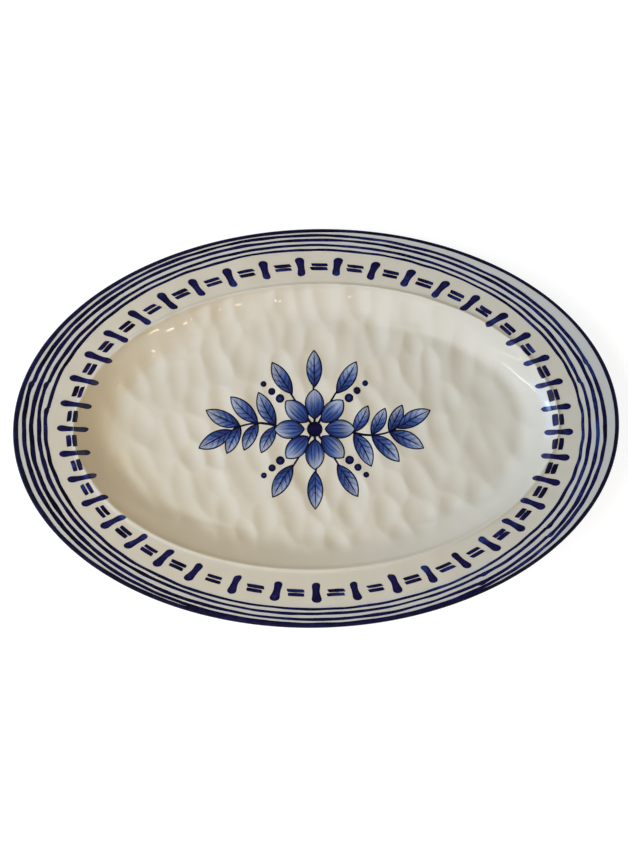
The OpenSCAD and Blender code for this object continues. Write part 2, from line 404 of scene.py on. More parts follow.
# %% [markdown]
# ## The printed face
#
# On the real platter the foil is a sheet that melts into the shell, so nothing of its edge shows. It is
# still a piece of its own here, a closed skin 0.4 mm thick, because someone may want another foil on the
# same shell. Its rings follow the crease and the lip, and crowd together at the crease, where the face turns
# most.

# %% Face mesh
face_cells = 144
disc_y = floor_y + 2
crease_tries = np.linspace(0.95, 1.05, 400)
crease_reach = 3


def ring_x(half_y):
    """Half length of the ring that crosses the short axis at half_y."""
    return np.interp(half_y, [0, crease_y, face_y], [0, crease_x, face_y * rim_stretch])


def crease_scale(angles):
    """How far out the rim and the wall truly meet, as a share of the crease's plain oval."""
    x = crease_x * np.cos(angles)[:, None] * crease_tries
    y = crease_y * np.sin(angles)[:, None] * crease_tries
    return crease_tries[np.abs(well_height(x, y) - rim_height(rim_radius(x, y))).argmin(1)]


def ring(half_y, angles, height, lower=0.0):
    """One oval ring of points at a height function, which follows the true crease where it is near it."""
    inner, outer = crease_y - crease_reach, crease_y + crease_reach
    follow = np.interp(half_y, [disc_y, inner, outer, face_y], [0, 1, 1, 0])
    scale = 1 + follow * (crease_scale(angles) - 1)
    x = scale * ring_x(half_y) * np.cos(angles)
    y = scale * half_y * np.sin(angles)
    return np.stack([x, y, height(x, y) - lower], -1)


def disc(half_x, half_y, cells, height, lower=0.0):
    u, v = disc_grid(cells)[:2]
    x, y = half_x * u, half_y * v
    return np.stack([x, y, height(x, y) - lower], -1)


wall_rings = np.linspace(disc_y, crease_y - 3.6, 16)[1:]
crease_rings = np.linspace(crease_y - 2.8, crease_y + 2.8, 17)
rim_rings = np.linspace(crease_y + 3.8, face_y, 28)
face_rings = np.concatenate([wall_rings, crease_rings, rim_rings])
hidden_rings = face_rings[::-1][::3]
angles = ring_angles(face_cells)
rings = [ring(y, angles, face_height) for y in face_rings]
rings += [ring(y, angles, face_height, foil) for y in hidden_rings]
top = disc(ring_x(disc_y), disc_y, face_cells, face_height)
bottom = disc(ring_x(disc_y), disc_y, face_cells, face_height, foil)
face_skin = closed_skin(face_cells, top, rings, bottom)
make_piece("printed_face", *face_skin, face_melamine, "decor_foil", "decor_foil")

# %% [markdown]
# ## The shell and its foot
#
# The back is what a hand feels: the lip, the plain underside of the rim, the wall and a low foot ring that
# the platter stands on. It is one skin again. The underside is the even face set 3 mm deeper, with a wide
# soft minimum in the hollow under the rim, and the foot is a short profile of straight runs and quarter
# rounds.

# %% Underside
hollow_blend = 4.0
end_slope = math.atan(end_stretch * math.tan(wall_slope))
end_fillet = floor_fillet * math.sin(wall_slope) / (end_stretch * math.sin(end_slope))
end_run = wall_drop / math.tan(end_slope) + end_fillet * math.tan(end_slope / 2)
end_floor_y = end_crease_x / end_stretch - end_run


def under_form(run, fillet, slope):
    """Height of one form's underside past its floor: the CAD fillet and straight wall, one shell deeper."""
    bend = fillet + shell
    bend_run = bend * math.sin(slope)
    curve = bend - np.sqrt(bend**2 - np.clip(run, 0, bend_run) ** 2)
    return floor_z - shell + curve + np.maximum(run - bend_run, 0) * math.tan(slope)


def under_height(x, y):
    under_rim = rim_height(rim_radius(x, y)) - shell / math.cos(rim_slope)
    side_form = under_form(well_radius(x, y) - floor_y, floor_fillet, wall_slope)
    end_form = under_form(np.hypot(x / end_stretch, y) - end_floor_y, end_fillet, end_slope)
    return soft_min(under_rim, join_forms(side_form, end_form, floor_z - shell), hollow_blend)


print(f"underside at the crease {under_height(0, crease_y):.2f} mm high")

# %% Lip and foot profiles
band_end = math.radians(-35)
foot_outer = floor_y - 2
foot_inner = foot_outer - 5
foot_round = 0.7
foot_fillet = 0.9
foot_steps = 5
bare_steps, under_steps = 9, 7


def arc(centre, radius, start, end, steps):
    turn = np.linspace(start, end, steps)
    return np.stack([centre[0] + radius * np.cos(turn), centre[1] + radius * np.sin(turn)], -1)


def profile_rings(profile, stretch, angles):
    """Rings of a turned profile of (radius, height) points, stretched along X."""
    return [np.stack([stretch * r * np.cos(angles), r * np.sin(angles), np.full(len(angles), z)], -1)
            for r, z in profile]


quarter = math.pi / 2
top_angle = quarter + rim_slope
bare_round = lip_round - foil * math.cos(rim_slope)
fillet_z = foot_height - foot_fillet
lip_profile = np.vstack([
    arc(lip_centre, bare_round, top_angle, band_end, bare_steps),
    arc(lip_centre, lip_round, band_end, rim_slope - quarter, under_steps)])
foot_profile = np.vstack([
    arc((foot_outer + foot_fillet, fillet_z), foot_fillet, quarter, 2 * quarter, foot_steps),
    arc((foot_outer - foot_round, foot_round), foot_round, 0, -quarter, foot_steps),
    arc((foot_inner + foot_round, foot_round), foot_round, -quarter, -2 * quarter, foot_steps),
    arc((foot_inner - foot_fillet, fillet_z), foot_fillet, 0, quarter, foot_steps)])
print(f"foot ring {foot_outer - foot_inner:.1f} mm wide and {foot_height:.1f} mm high")

# %% Shell mesh
shell_cells = 100
seat_gap = 0.02
under_rim_rings = np.linspace(face_y - 1, crease_y + 8, 14)
hollow_rings = np.linspace(crease_y + 7, crease_y - 4, 14)
under_wall_rings = np.linspace(crease_y - 5, floor_y, 16)
back_rings = np.concatenate([under_rim_rings, hollow_rings, under_wall_rings])
back_y = foot_inner - 2

angles = ring_angles(shell_cells)
rings = [ring(y, angles, face_height, foil + seat_gap) for y in hidden_rings[::-1]]
rings += profile_rings(lip_profile, rim_stretch, angles)
rings += [ring(y, angles, under_height) for y in back_rings]
rings += profile_rings(foot_profile, well_stretch, angles)
top = disc(ring_x(disc_y), disc_y, shell_cells, face_height, foil + seat_gap)
bottom = disc(back_y * well_stretch, back_y, shell_cells, under_height)
shell_skin = closed_skin(shell_cells, top, rings, bottom)
make_piece("melamine_shell", *shell_skin, back_melamine, "moulded_melamine", "moulded_body")

# %% [markdown]
# ## Blue ink under the gloss
#
# The decoration copies brush work. A loaded brush lays a dark navy line that thins to a clearer blue where
# it runs dry, so each stroke carries a mark, tone, from 0 for full ink to 1 for thin ink. On the stripes the
# tone also holds a painted sheen that pales them towards the right end. The ink is printed on the foil under
# the clear gloss. Dark ink shows every reflection, so the gloss over it is set weaker than over the bare
# face. Grain a few millimetres long breaks the ink up.

# %% Brushed navy ink
ink_full, ink_mid, ink_thin = "#0b0a1c", "#1b1946", "#2f4f8f"
ink_shine = 0.3
worn_shine = 0.15
worn_roughness = 0.45
grain_size = 5 * MM
grain_swing = 0.22


def ink_surface(tree, colour, roughness=gloss_roughness, shine=ink_shine):
    """The gloss over printed ink, as smooth as over the bare face unless it is worn."""
    surface = add(tree, "BsdfPrincipled", {
        "Base Color": colour, "Roughness": roughness, "IOR": resin_ior, "Specular IOR Level": shine})
    add(tree, "OutputMaterial", {"Surface": surface.outputs["BSDF"]})


def brushed_ink(name, **finish):
    material, tree = new_material(name)
    place = add(tree, "TexCoord").outputs["Object"]
    tone = add(tree, "Attribute", attribute_name="tone").outputs["Fac"]
    grain = add(tree, "TexNoise", {"Vector": place, "Scale": 1 / grain_size, "Detail": 4.0}).outputs["Fac"]
    uneven = add(tree, "MapRange", {
        "Value": grain, "From Min": 0.25, "From Max": 0.75, "To Min": -grain_swing, "To Max": grain_swing})
    thin = add(tree, "Math", {0: tone, 1: uneven.outputs["Result"]}, operation="ADD", use_clamp=True)
    first = add(tree, "MapRange", {"Value": thin.outputs["Value"], "From Max": 0.45}).outputs["Result"]
    second = add(tree, "MapRange", {"Value": thin.outputs["Value"], "From Min": 0.4}).outputs["Result"]
    dark = add(tree, "Mix", {"Factor": first, "A": linear(ink_full), "B": linear(ink_mid)}, data_type="RGBA")
    blue = add(tree, "Mix", {
        "Factor": second, "A": dark.outputs["Result"], "B": linear(ink_thin)}, data_type="RGBA")
    ink_surface(tree, blue.outputs["Result"], **finish)
    return material


navy_ink = brushed_ink("printed_ink_brushed_navy")
edge_ink = brushed_ink("painted_ink_worn_edge", roughness=worn_roughness, shine=worn_shine)
print("materials:", navy_ink.name, edge_ink.name)

# %% [markdown]
# ## Laying the ink
#
# Ink could be painted in the face's own material, but then its edges would be as coarse as a baked
# texture. Each stroke is a thin closed skin instead, a grid of points in the print's flat plane
# dropped onto the hammered face, so its edge stays crisp and it follows every dent. The print sits a little
# off centre and turned.

# %% Ink on the face
ink_proud = 0.09
ink_sunk = 0.06
print_shift = (-1.1, -1.25)
print_turn = math.radians(-0.9)
print_stretch = (lip_x - 3.9) / lip_y
print_margin = 0.05


def turned(points, angle):
    """Points in a plane, turned about the origin."""
    c, s = math.cos(angle), math.sin(angle)
    return points @ np.array([[c, s], [-s, c]])


def on_platter(points):
    """Points of the print's plane, put on the platter and kept on its face."""
    placed = turned(points, print_turn) + print_shift
    reach = rim_radius(placed[..., 0], placed[..., 1])
    return placed * np.minimum(1, (face_y - print_margin) / reach)[..., None]


def lay_ink(name, sheets, material, slot, node, closed=False):
    """One thin closed skin for each sheet: its grid of points, its lift over other ink and its marks."""
    vertices, faces, marks, start = [], [], {}, 0
    for points, lift, sheet_marks in sheets:
        x, y = np.moveaxis(on_platter(points), -1, 0)
        z = face_height(x, y)
        for height in (z + ink_proud + lift, z - ink_sunk):
            vertices.append(np.stack([x, y, height], -1).reshape(-1, 3))
        upper = start + np.arange(x.size).reshape(x.shape)
        if closed:
            upper = np.vstack([upper, upper[:1]])
            edges = [upper[:, 0], upper[::-1, -1]]
        else:
            edges = [np.concatenate([upper[:-1, 0], upper[-1, :-1], upper[:0:-1, -1], upper[0, ::-1]])]
        quads = np.stack([upper[:-1, :-1], upper[1:, :-1], upper[1:, 1:], upper[:-1, 1:]], -1).reshape(-1, 4)
        faces += [quads, quads[:, ::-1] + x.size]
        faces += [np.stack([e[:-1] + x.size, e[1:] + x.size, e[1:], e[:-1]], -1) for e in edges]
        for mark, values in sheet_marks.items():
            spread = np.broadcast_to(values, x.shape).ravel()
            marks.setdefault(mark, []).append(np.concatenate([spread, spread]))
        start += 2 * x.size
    marks = {mark: np.concatenate(values) for mark, values in marks.items()}
    return make_piece(name, np.vstack(vertices), np.vstack(faces), material, slot, node, **marks)


# %% [markdown]
# ## The painted edge
#
# A broad dark line runs round the lip and a little way under it, as if the platter had been banded on a
# wheel. It is a closed ring that wraps the round of the lip. Its inner border wanders by a few tenths of a
# millimetre.

# %% Edge band
brush = np.random.default_rng(23)
band_cells = 720
band_inset = 0.70
band_least = 0.25
band_wobble = 0.25
band_swell = (0.37, 0.18)
band_lift = 0.02
band_ink, band_ink_swing = 0.10, 0.14
outer_steps, inner_steps = 12, 8


def wander(angles, least, most, size):
    """A smooth closed wobble round an oval, from waves between two counts."""
    counts = np.arange(least, most)
    height = brush.normal(0, 1, len(counts)) / np.sqrt(counts)
    start = brush.uniform(0, 2 * math.pi, len(counts))
    wobble = (height * np.sin(angles[:, None] * counts + start)).sum(-1)
    return size * wobble / np.abs(wobble).max()


angles = np.arange(band_cells) * 2 * math.pi / band_cells
inner = face_y - band_inset + band_swell[0] * np.cos(angles) + band_swell[1] * np.cos(2 * angles)
inner = np.minimum(inner + wander(angles, 5, 40, band_wobble), face_y - band_least)
outer_arc = arc(lip_centre, lip_round, top_angle, band_end, outer_steps)
inner_arc = arc(lip_centre, bare_round + seat_gap, band_end, top_angle, inner_steps)
profile = [(inner, rim_height(inner) + ink_proud + band_lift)]
profile += [(np.full(band_cells, r), np.full(band_cells, z)) for r, z in np.vstack([outer_arc, inner_arc])]
profile += [(inner, rim_height(inner) - foil / 2)]
loops = [np.stack([rim_stretch * r * np.cos(angles), r * np.sin(angles), z], -1) for r, z in profile]
indices = [i * band_cells + np.arange(band_cells) for i in range(len(loops))]
band_tone = np.tile(band_ink + wander(angles, 3, 30, band_ink_swing), len(loops))
make_piece("painted_edge", np.vstack(loops), np.vstack(strips([*indices, indices[0]])), edge_ink,
           "navy_print", "edge_band", tone=band_tone)

# %% [markdown]
# ## Four brushed stripes
#
# The stripes are true ovals that a hand has followed: each wanders a little, swells and thins, and here and
# there shows a jog where one stroke of the brush stopped and the next began beside it. A jog is a sudden
# step across the line that dies away over some degrees, with a blob of ink at its start. The jogs' places,
# in degrees, and their steps, in millimetres, are listed for each stripe.

# %% Stripes
stripe_cells = 1440
stripe_middles = lip_y - np.array([4.3, 7.7, 11.8, 15.3])
stripe_width = (2.1, 2.1, 1.95, 1.8)
stripe_columns = np.linspace(1, -1, 5)
squareness = 0.25
line_wobble = 0.32
right_thinning, width_swing = 0.08, 0.22
# The stripes' ink is paler and bluer towards the right end: a painted sheen for the cool light there.
stripe_ink, painted_right_sheen, stripe_ink_swing = 0.17, 0.12, 0.24
middle_paling = 0.10
jogs = {1: [(165.5, 0.7), (18.0, -0.5)], 2: [(-36.0, 0.6), (-56.0, 0.6)],
        3: [(165.0, 0.8), (13.0, -0.6), (-34.0, 0.6), (-54.0, 0.6)], 4: [(173.0, 0.6)]}
jog_span, jog_onset = 26.0, 0.7
blob_swell, blob_place, blob_span = 0.35, 1.2, 0.9
angles = np.arange(stripe_cells) * 2 * math.pi / stripe_cells

for number, (middle, width) in enumerate(zip(stripe_middles, stripe_width), start=1):
    line = middle + squareness * np.cos(4 * angles) + wander(angles, 4, 60, line_wobble)
    half = width / 2 * (1 - right_thinning * np.cos(angles) + wander(angles, 6, 70, width_swing))
    # Painted sheen: the tone rises towards the right end, where cool light falls.
    tone = stripe_ink + painted_right_sheen * np.cos(angles) + wander(angles, 3, 26, stripe_ink_swing)
    for place, shift in jogs[number]:
        past = (np.degrees(angles) - place) % 360
        line += shift * np.where(past < jog_span, 1 - past / jog_span, 0) * smooth_step(past, 0, jog_onset)
        half *= 1 + blob_swell * np.exp(-((past - blob_place) / blob_span) ** 2)
    radius = line[:, None] + half[:, None] * stripe_columns
    x = print_stretch * radius * np.cos(angles)[:, None]
    y = radius * np.sin(angles)[:, None]
    marks = {"tone": tone[:, None] + middle_paling * (1 - stripe_columns**2)}
    lay_ink(f"brushed_stripe_{number}", [(np.stack([x, y], -1), 0.0, marks)], navy_ink,
            "navy_print", f"stripe_{number}", closed=True)

# %% [markdown]
# ## Strokes of the border
#
# Forty-one short strokes stand round the rim, each one press of a round brush: a broad round head towards
# the lip, a waist, and a foot that leaves the face on a slant. Each is a small grid with rows along the
# stroke and columns across it, set out in a round plan and then stretched with the oval. The last few gaps
# are wider, where the round was closed.

# %% Places of the border strokes
stroke_count = 41
stroke_outer = stripe_middles[-1] - 4.85
stroke_length = 14.4
border_shift = (0.3, -0.5)
closing_gaps = np.array([1.20, 1.16, 1.07, 1.06, 1.10])
first_stroke = -71.4
gap_shares = np.concatenate([np.ones(stroke_count - len(closing_gaps)), closing_gaps])
gap_ends = np.concatenate([[0], np.cumsum(gap_shares)])
stroke_angles = np.radians(first_stroke + 360 * gap_ends / gap_shares.sum())


def in_oval(points, angle):
    """Points of a round plan with X pointing outwards, turned and then stretched to the print's oval."""
    return turned(points, angle) * (print_stretch, 1) + border_shift


print(f"{stroke_count} strokes, {np.degrees(np.diff(stroke_angles)).min():.1f} degrees apart or more")

# %% Border strokes
stroke_rows, stroke_tip = 46, 0.06
share = (1 - np.cos(np.linspace(stroke_tip, math.pi - stroke_tip, stroke_rows))) / 2
columns = np.linspace(-1, 1, 7)
head_end, foot_end = 0.17, 0.13
end_tuck = 0.5
half_profile = np.interp(share, [0, 0.18, 0.42, 0.60, 0.80, 1.0], [1.92, 2.02, 1.72, 1.92, 2.40, 2.4])
half_profile *= np.sqrt(np.clip(1 - (np.maximum(share - 1 + head_end, 0) / head_end) ** 2, 0, 1))
half_profile *= np.sqrt(np.clip(1 - (np.maximum(foot_end - share, 0) / foot_end) ** 2, 0, 1))
stroke_ink, stroke_paling = 0.20, 0.12
longer, wider = (0.97, 1.04), (0.96, 1.06)
bends, slants = (0.10, 0.32), (0.0, 0.2)
side_step = 0.12
thinnings = (0.0, 0.28)
strokes = []
for i in range(stroke_count):
    length = stroke_length * brush.uniform(*longer) - end_tuck * math.cos(stroke_angles[i])
    half = half_profile * brush.uniform(*wider)
    bend = brush.uniform(*bends) * brush.choice([-1, 1])
    sway = bend * np.sin(share * 1.5 * math.pi) + brush.normal(0, side_step)
    slant = brush.uniform(*slants) * np.sign(bend) * (1 - share) ** 2
    across = half[:, None] * columns
    along = stroke_outer - length * (1 - share)[:, None] + slant[:, None] * columns
    points = np.stack([along, across + sway[:, None]], -1)
    thin = brush.uniform(*thinnings)
    tone = stroke_ink + thin * (1 - share[:, None]) ** 1.5 + stroke_paling * (1 - columns**2)
    strokes.append((in_oval(points, stroke_angles[i]), 0.0, {"tone": tone}))
lay_ink("border_strokes", strokes, navy_ink, "navy_print", "border_bars")

# %% [markdown]
# ## Pairs of dashes
#
# Between two strokes lies a pair of short dashes, dragged sideways with a flat brush, so their ends are
# slanted and their ink is thinner than the strokes'.

# %% Dashes
dash_length = 8.5
dash_width = 2.55
dash_pitch = 2.95
dash_rows = np.linspace(-1, 1, 9)
dash_columns = np.linspace(-1, 1, 17)
dash_taper, corner_cut = 0.12, 0.04
dash_ink, dash_ink_wave = 0.24, 0.12
dash_longer, dash_wider = (0.92, 1.06), (0.88, 1.10)
dash_slants, dash_inks = (0.1, 0.5), (-0.12, 0.16)
dash_bow, dash_slip = 0.10, 0.2
stroke_middle = stroke_outer - stroke_length / 2
dashes = []
for i in range(stroke_count):
    facing = (stroke_angles[i] + stroke_angles[i + 1]) / 2
    for side in (-1, 1):
        length = dash_length * brush.uniform(*dash_longer)
        width = dash_width * brush.uniform(*dash_wider) * (1 - dash_taper * dash_columns**2)
        slant = brush.uniform(*dash_slants)
        bow = brush.normal(0, dash_bow) * (1 - dash_columns**2)
        along = stroke_middle + side * dash_pitch / 2 + width / 2 * dash_rows[:, None] + bow
        across = length / 2 * dash_columns + slant * dash_rows[:, None] + brush.normal(0, dash_slip)
        corners = 1 - corner_cut * np.abs(dash_rows[:, None]) ** 3
        points = np.stack([along, across * corners], -1)
        tone = dash_ink + brush.uniform(*dash_inks)
        tone = tone + dash_ink_wave * np.sin(1.5 * dash_columns + brush.uniform(0, 6))
        dashes.append((in_oval(points, facing), 0.0, {"tone": tone}))
lay_ink("border_dashes_brushed", dashes, navy_ink, "cobalt_print", "border_dashes")

# %% [markdown]
# ## Washes with an outline
#
# The flower in the middle is drawn as such platters are: a fine navy outline, a wash of cobalt that pales
# towards the tip, and rays or veins pulled through the wet colour. The mesh carries the leaf's own
# coordinates as marks: along it, across it, and the distance to its outline in millimetres. The material
# draws with those, so lines stay sharp.

# %% Outlined cobalt wash
outline_width = 1.0
rib_soft = 0.06
wash_dark, wash_mid, wash_pale = "#1d2859", "#3c568e", "#a3adbd"
streak_stretch = (2.0, 5.0, 60.0)
streak_strength, side_shade, line_shake = 0.9, 0.22, 0.5


def outlined_wash(name, rays, veins, rib):
    """A wash with dark lines: rays run along the leaf, veins slant out from a rib that is half that wide."""
    material, tree = new_material(name)
    along = add(tree, "Attribute", attribute_name="along").outputs["Fac"]
    across = add(tree, "Attribute", attribute_name="across").outputs["Fac"]
    edge = add(tree, "Attribute", attribute_name="edge").outputs["Fac"]
    seed = add(tree, "Attribute", attribute_name="seed").outputs["Fac"]
    spot = add(tree, "CombineXYZ", {"X": along, "Y": across, "Z": seed}).outputs["Vector"]
    stretched = add(tree, "VectorMath", {0: spot, 1: streak_stretch}, operation="MULTIPLY").outputs["Vector"]
    streak = add(tree, "TexNoise", {"Vector": stretched, "Scale": 1.0, "Detail": 3.0}).outputs["Fac"]
    side = add(tree, "Math", {0: across}, operation="ABSOLUTE").outputs["Value"]
    pale = add(tree, "MapRange", {
        "Value": along, "From Min": 0.05, "From Max": 0.95, "To Min": -0.3, "To Max": 0.75}).outputs["Result"]
    shade = add(tree, "Math", {0: across, 1: side_shade, 2: pale}, operation="MULTIPLY_ADD").outputs["Value"]
    wash = add(tree, "Math", {0: streak, 1: streak_strength, 2: shade}, operation="MULTIPLY_ADD")
    light = add(tree, "MapRange", {"Value": wash.outputs["Value"], "From Min": 0.15, "From Max": 0.6})
    bare = add(tree, "MapRange", {"Value": wash.outputs["Value"], "From Min": 0.62, "From Max": 1.15})
    blue = add(tree, "Mix", {
        "Factor": light.outputs["Result"], "A": linear(wash_dark), "B": linear(wash_mid)}, data_type="RGBA")
    washed = add(tree, "Mix", {
        "Factor": bare.outputs["Result"], "A": blue.outputs["Result"], "B": linear(wash_pale)},
        data_type="RGBA")

    slanted = add(tree, "Math", {0: along, 1: veins}, operation="MULTIPLY").outputs["Value"]
    phase = add(tree, "Math", {0: side, 1: rays, 2: slanted}, operation="MULTIPLY_ADD").outputs["Value"]
    shaken = add(tree, "Math", {0: streak, 1: line_shake, 2: phase}, operation="MULTIPLY_ADD")
    cycle = add(tree, "Math", {0: shaken.outputs["Value"], 1: 2 * math.pi}, operation="MULTIPLY")
    swing = add(tree, "Math", {0: cycle.outputs["Value"]}, operation="SINE").outputs["Value"]
    line = add(tree, "MapRange", {"Value": swing, "From Min": 0.25, "From Max": 0.85}).outputs["Result"]
    fade = add(tree, "MapRange", {
        "Value": along, "From Min": 0.35, "From Max": 0.92, "To Min": 0.85, "To Max": 0.1}).outputs["Result"]
    drawn = add(tree, "Math", {0: line, 1: fade}, operation="MULTIPLY").outputs["Value"]
    lined = add(tree, "Mix", {
        "Factor": drawn, "A": washed.outputs["Result"], "B": linear(ink_mid)}, data_type="RGBA")

    middle = add(tree, "MapRange", {
        "Value": side, "From Min": rib, "From Max": rib + rib_soft, "To Min": 1.0, "To Max": 0.0})
    border = add(tree, "MapRange", {
        "Value": edge, "From Min": outline_width * 0.7, "From Max": outline_width * 1.3,
        "To Min": 1.0, "To Max": 0.0})
    inked = add(tree, "Math", {0: middle.outputs["Result"], 1: border.outputs["Result"]}, operation="MAXIMUM")
    colour = add(tree, "Mix", {
        "Factor": inked.outputs["Value"], "A": lined.outputs["Result"], "B": linear(ink_full)},
        data_type="RGBA")
    ink_surface(tree, colour.outputs["Result"])
    return material


petal_wash = outlined_wash("printed_ink_petal_wash", rays=2.6, veins=0.0, rib=-0.1)
leaf_wash = outlined_wash("printed_ink_leaf_wash", rays=-1.3, veins=5.5, rib=0.05)
print("materials:", petal_wash.name, leaf_wash.name)

# %% [markdown]
# ## Petals and leaves
#
# Petals and leaves are pointed ovals where two circles cross. The grid has rows along the leaf and columns
# across it, and ends a hair short of the points so that no face shrinks to nothing. A slight bend keeps a
# leaf from looking stamped. Each leaf lies some microns higher than the last, as one brush stroke lies over
# another.

# %% Petals
eye_radius = 6.0
petal_length, petal_width, petal_count = 24.0, 15.0, 8
petal_start = eye_radius + 1.5
blossom_radius = petal_start + petal_length
petal_grid = (40, 25)
blade_tip = 0.14
lift_step = 0.003
petal_lift = 0.045


def blade(length, width, grid, bend=0.0):
    """Points and marks of a pointed oval along X, from the origin, on a grid of rows and columns."""
    rows, columns = grid
    radius = (length**2 + width**2) / (4 * width)
    drop = radius - width / 2
    x = length * (1 - np.cos(np.linspace(blade_tip, math.pi - blade_tip, rows))) / 2
    half = np.sqrt(radius**2 - (x - length / 2) ** 2) - drop
    side = np.linspace(-1, 1, columns)
    y = half[:, None] * side
    edge = radius - np.hypot(x[:, None] - length / 2, np.abs(y) + drop)
    bent = y + bend * np.sin(math.pi * x / length)[:, None]
    points = np.stack([np.broadcast_to(x[:, None], y.shape), bent], -1)
    marks = {"along": x[:, None] / length, "across": side, "edge": edge, "seed": brush.uniform()}
    return points, marks


petals = []
for i in range(petal_count):
    points, marks = blade(petal_length, petal_width, petal_grid)
    opened = turned(points + (petal_start, 0), i * 2 * math.pi / petal_count)
    petals.append((opened, petal_lift + i * lift_step, marks))
lay_ink("flower_petals", petals, petal_wash, "cobalt_print", "motif_petals")

# %% Branches
leaf_length, leaf_width, leaf_pairs = 30.0, 12.4, 3
motif_x = floor_y * well_stretch - 43
motif_y = floor_y - 20
stem_start = blossom_radius - petal_length / 3
stem_end = motif_x - leaf_length
stem_bow = 5.0
stem_chord = stem_end - stem_start
stem_radius = (stem_chord**2 / 4 + stem_bow**2) / (2 * stem_bow)
stem_half_angle = math.asin(stem_chord / 2 / stem_radius)
stem_centre = np.array([(stem_start + stem_end) / 2, stem_radius - stem_bow])


def on_branch(points, share):
    """Points set at a share of the branch, pointing along it."""
    a = stem_half_angle * (2 * share - 1)
    return turned(points, a) + stem_centre + stem_radius * np.array([math.sin(a), -math.cos(a)])


print(f"flower spray {2 * motif_x:.0f} by {2 * motif_y:.0f} mm")

# %% Leaves
leaf_splay = math.radians(44)
inner_length, inner_width = 24.0, 10.5
inner_splay = np.radians([80, 62, 44])
crown_splay = math.radians(32)
leaf_grid = (44, 21)
leaf_bends, tip_bends, crown_bends = (0.3, 1.3), (0.2, 0.9), (0.3, 1.0)
leaf_lift = 0.004
leaf_sheets = []
for half_turn in (0, math.pi):
    placed = []
    for pair in range(leaf_pairs):
        for side in (-1, 1):
            outer_size = (leaf_length, leaf_width, leaf_splay)
            inner_size = (inner_length, inner_width, inner_splay[pair])
            length, width, splay = inner_size if side > 0 else outer_size
            points, marks = blade(length, width, leaf_grid, bend=-side * brush.uniform(*leaf_bends))
            placed.append((on_branch(turned(points, side * splay), (pair + 0.5) / leaf_pairs), marks))
    points, marks = blade(leaf_length, leaf_width, leaf_grid, bend=brush.uniform(*tip_bends))
    placed.append((on_branch(points, 1.0), marks))
    for side in (-1, 1, 0):
        points, marks = blade(leaf_length, leaf_width, leaf_grid, bend=side * brush.uniform(*crown_bends))
        away = points + (motif_y - leaf_length, 0)
        placed.append((turned(away, math.pi / 2 + side * crown_splay), marks))
    for points, marks in placed:
        lift = leaf_lift + len(leaf_sheets) * lift_step / 2
        leaf_sheets.append((turned(points, half_turn), lift, marks))
lay_ink("flower_leaves", leaf_sheets, leaf_wash, "cobalt_print", "motif_leaves")

# %% [markdown]
# ## Stems, eye and berries
#
# Stems are single strokes that taper to the tip and run in under the leaves and petals. The eye and the
# berries are dabs of a full brush, dark at the rim and clearer towards the middle, so they use the brushed
# ink with a tone that rises inwards.

# %% Stems
stem_width, crown_width = 2.0, 1.8
stem_count = 60
stem_rows = np.linspace(0, 1, stem_count)
stem_columns = np.linspace(-1, 1, 5)
stem_ink, stem_ink_wave = 0.22, 0.16
crown_sway = 0.8
stem_taper = (1.1, 0.5)
stem_lift, crown_lift = -0.012, -0.015


def stroke_along(path, width, lift):
    """A tapering stroke along a path of points, with a wavering tone."""
    ahead = np.gradient(path, axis=0)
    left = np.stack([-ahead[:, 1], ahead[:, 0]], -1) / np.linalg.norm(ahead, axis=1)[:, None]
    half = width / 2 * (stem_taper[0] - stem_taper[1] * stem_rows)
    points = path[:, None] + left[:, None] * (half[:, None] * stem_columns)[..., None]
    tone = stem_ink + stem_ink_wave * np.sin(9 * stem_rows + brush.uniform(0, 6))
    return points, lift, {"tone": tone[:, None]}


stems = []
for half_turn in (0, math.pi):
    path = np.array([on_branch(np.zeros(2), share) for share in stem_rows])
    stems.append(stroke_along(turned(path, half_turn), stem_width, stem_lift))
    for side in (-1, 0, 1):
        outwards = np.linspace(eye_radius, motif_y - leaf_length / 2, stem_count)
        path = np.stack([outwards, crown_sway * np.sin(3 * stem_rows)], -1)
        facing = math.pi / 2 + side * crown_splay + half_turn
        stems.append(stroke_along(turned(path, facing), crown_width, crown_lift))
lay_ink("flower_stems", stems, navy_ink, "navy_print", "motif_stems")

# %% Eye and berries
eye_lift = 0.02
heart_zone = (0.15, 0.85)


def dab(radius, cells, rim_tone, heart_tone):
    """A round dab of ink, its tone going from the rim's to the heart's."""
    u, v = (values.reshape(cells + 1, cells + 1).T for values in disc_grid(cells)[:2])
    heart = 1 - smooth_step(np.hypot(u, v), *heart_zone)
    return radius * np.stack([u, v], -1), {"tone": rim_tone + (heart_tone - rim_tone) * heart}


points, marks = dab(eye_radius, cells=36, rim_tone=0.10, heart_tone=0.34)
lay_ink("flower_eye", [(points, eye_lift, marks)], navy_ink, "navy_print", "motif_eye")

berry_radius, berry_pitch, berry_count = 3.4, 8.5, 3
berry_direction = math.radians(42)
berries = []
for half_turn in (0, math.pi):
    for side in (-1, 1):
        for i in range(berry_count):
            radius = berry_radius * (1 - i / (2 * berry_count))
            points, marks = dab(radius, cells=16, rim_tone=0.08, heart_tone=0.55)
            away = points + (blossom_radius + berry_pitch * (i + 0.5), 0)
            berries.append((turned(away, half_turn + side * berry_direction), 0.0, marks))
lay_ink("flower_berries", berries, navy_ink, "navy_print", "motif_berries")

# %% [markdown]
# ## A plain studio
#
# The platter lies on a pale floor. For the camera the floor gets a share of plain white on top of the light
# that falls on it, so it reads as white paper and still keeps a soft shadow, and no more light reaches the
# platter. The world is a room that is brighter low down and towards the camera's side, and dim overhead and
# at the back. The camera sees plain white in its place, and so does the gloss near the horizon.

# %% Floor
floor_white = 0.88
floor_half = 20.0


